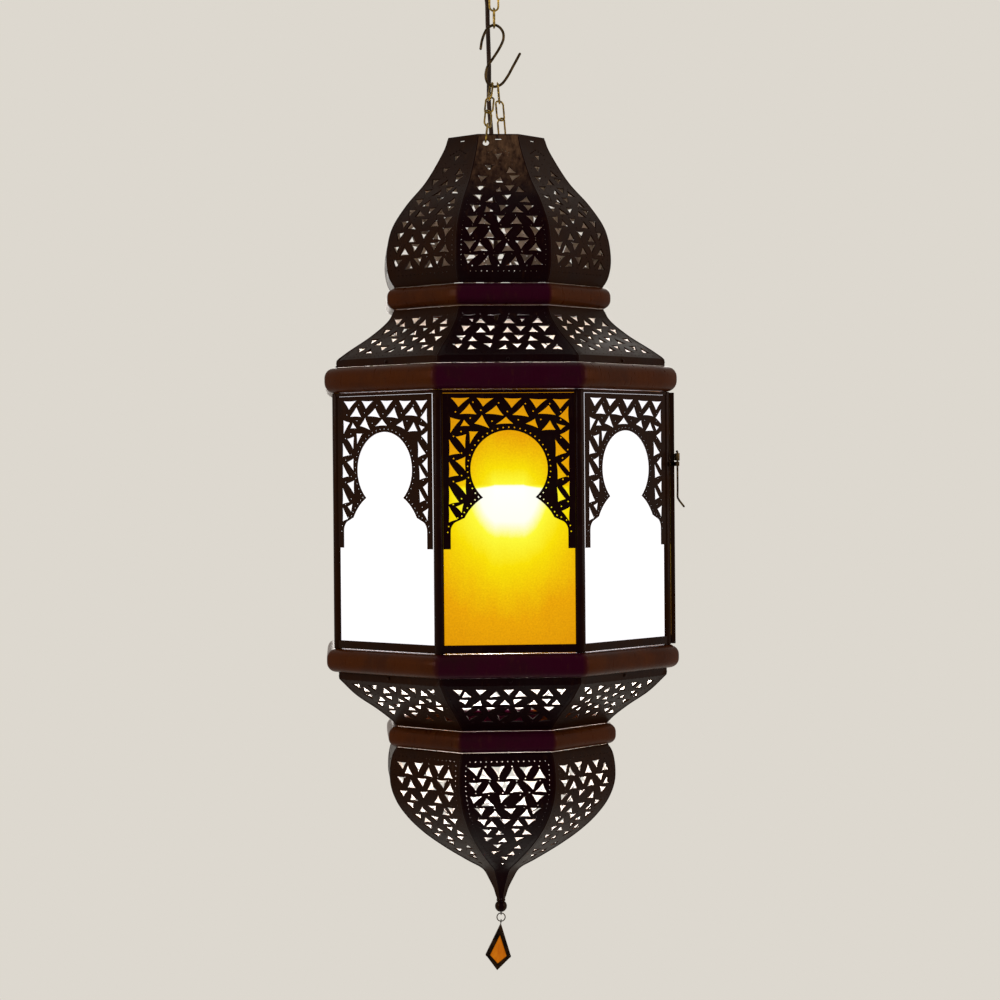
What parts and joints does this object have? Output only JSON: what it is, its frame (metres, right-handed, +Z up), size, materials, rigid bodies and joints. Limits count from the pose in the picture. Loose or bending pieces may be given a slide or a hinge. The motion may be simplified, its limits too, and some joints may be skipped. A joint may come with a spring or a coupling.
{
  "type": "hanging lantern",
  "caption": "Octagonal hanging lantern of pierced dark sheet metal with a dome, arched windows with amber and frosted panes, a latched door, a chain with an S hook, and a glass pendant",
  "frame": {"origin": "on the ceiling face, at the middle of the ceiling plate's top", "axes": "+Z is up, towards the ceiling; the front window faces -Y and the door faces +X"},
  "size_m": [0.3317, 0.3252, 0.9841],
  "materials": {
    "dark_lacquer": "gloss",
    "dark_iron": "satin",
    "pendant_came": "satin",
    "brass_wire": "gloss",
    "amber_glass": "satin",
    "frosted_glass": "matte",
    "pendant_amber": "gloss",
    "cable_sheath": "satin",
    "black_plastic": "matte",
    "bulb_housing": "gloss",
    "bulb_diffuser": "matte"
  },
  "bodies": {
    "ceiling_fitting": {"ceiling_plate": "dark_iron", "ceiling_canopy": "dark_lacquer", "ceiling_hook": "dark_iron", "cable_gland": "black_plastic", "cable_upper": "cable_sheath"},
    "first_link": {"upper_link_1": "brass_wire"},
    "second_link": {"upper_link_2": "brass_wire"},
    "third_link": {"upper_link_3": "brass_wire"},
    "hook": {"s_hook": "dark_iron"},
    "strands": {"front_chain_link_1": "brass_wire", "front_chain_link_2": "brass_wire", "front_chain_link_3": "brass_wire", "front_chain_link_4": "brass_wire", "back_chain_link_1": "brass_wire", "back_chain_link_2": "brass_wire", "back_chain_link_3": "brass_wire", "back_chain_link_4": "brass_wire"},
    "lantern": {"cable_lower": "cable_sheath", "lamp_holder": "black_plastic", "cord_grip": "black_plastic", "bulb_base": "bulb_housing", "bulb_diffuser": "bulb_diffuser", "dome": "dark_lacquer", "upper_small_ring": "dark_lacquer", "upper_flare": "dark_lacquer", "upper_main_ring": "dark_lacquer", "body_frame": "dark_lacquer", "lower_main_ring": "dark_lacquer", "lower_flare": "dark_lacquer", "lower_small_ring": "dark_lacquer", "bowl": "dark_lacquer", "front_screen": "dark_lacquer", "front_right_screen": "dark_lacquer", "back_right_screen": "dark_lacquer", "back_screen": "dark_lacquer", "back_left_screen": "dark_lacquer", "left_screen": "dark_lacquer", "front_left_screen": "dark_lacquer", "front_pane": "amber_glass", "front_right_pane": "frosted_glass", "back_right_pane": "frosted_glass", "back_pane": "amber_glass", "back_left_pane": "frosted_glass", "left_pane": "amber_glass", "front_left_pane": "frosted_glass", "upper_hinge_pin": "dark_iron", "lower_hinge_pin": "dark_iron", "latch_keeper": "dark_iron", "finial_flange": "dark_lacquer", "finial_ball": "dark_lacquer"},
    "door": {"door_frame": "dark_lacquer", "door_screen": "dark_lacquer", "door_pane": "amber_glass", "latch_staple": "dark_iron"},
    "drop_pin": {"latch_pin": "dark_iron"},
    "ring": {"pendant_ring": "brass_wire"},
    "pendant": {"pendant_frame": "pendant_came", "pendant_glass": "pendant_amber"}
  },
  "joints": [
    {"name": "first_link_swing", "type": "hinge", "parent": "ceiling_fitting", "child": "first_link", "pos_m": [0, 0, -0.044], "axis": [1, 0, 0], "range_deg": [-20, 20], "deforming": ["cable_upper", "cable_lower"]},
    {"name": "second_link_swing", "type": "hinge", "parent": "first_link", "child": "second_link", "pos_m": [0, 0, -0.05925], "axis": [0, 1, 0], "range_deg": [-20, 20], "deforming": ["cable_upper", "cable_lower"]},
    {"name": "third_link_swing", "type": "hinge", "parent": "second_link", "child": "third_link", "pos_m": [0, 0, -0.07505], "axis": [1, 0, 0], "range_deg": [-20, 20], "deforming": ["cable_upper", "cable_lower"]},
    {"name": "hook_swing", "type": "hinge", "parent": "third_link", "child": "hook", "pos_m": [0, 0, -0.09085], "axis": [0, 1, 0], "range_deg": [-20, 20], "deforming": ["cable_upper", "cable_lower"]},
    {"name": "strand_swing", "type": "hinge", "parent": "hook", "child": "strands", "pos_m": [0, 0, -0.14655], "axis": [1, 0, 0], "range_deg": [-20, 20], "deforming": ["cable_upper", "cable_lower"]},
    {"name": "lantern_swing", "type": "hinge", "parent": "strands", "child": "lantern", "pos_m": [0, 0, -0.20436], "axis": [0.2369, 0.9715, 0], "range_deg": [-20, 20], "deforming": ["cable_upper", "cable_lower"]},
    {"name": "door_hinge", "type": "hinge", "parent": "lantern", "child": "door", "pos_m": [0.1605, 0.0665, -0.55516], "axis": [0, 0, 1], "range_deg": [0, 150]},
    {"name": "latch_lift", "type": "slide", "parent": "door", "child": "drop_pin", "axis": [0, 0, 1], "range_m": [0, 0.034]},
    {"name": "ring_swing", "type": "hinge", "parent": "lantern", "child": "ring", "pos_m": [0, 0, -0.93153], "axis": [0, 1, 0], "range_deg": [-45, 45]},
    {"name": "pendant_swing", "type": "hinge", "parent": "ring", "child": "pendant", "pos_m": [0, 0, -0.93778], "axis": [1, 0, 0], "range_deg": [-60, 60]}
  ]
}
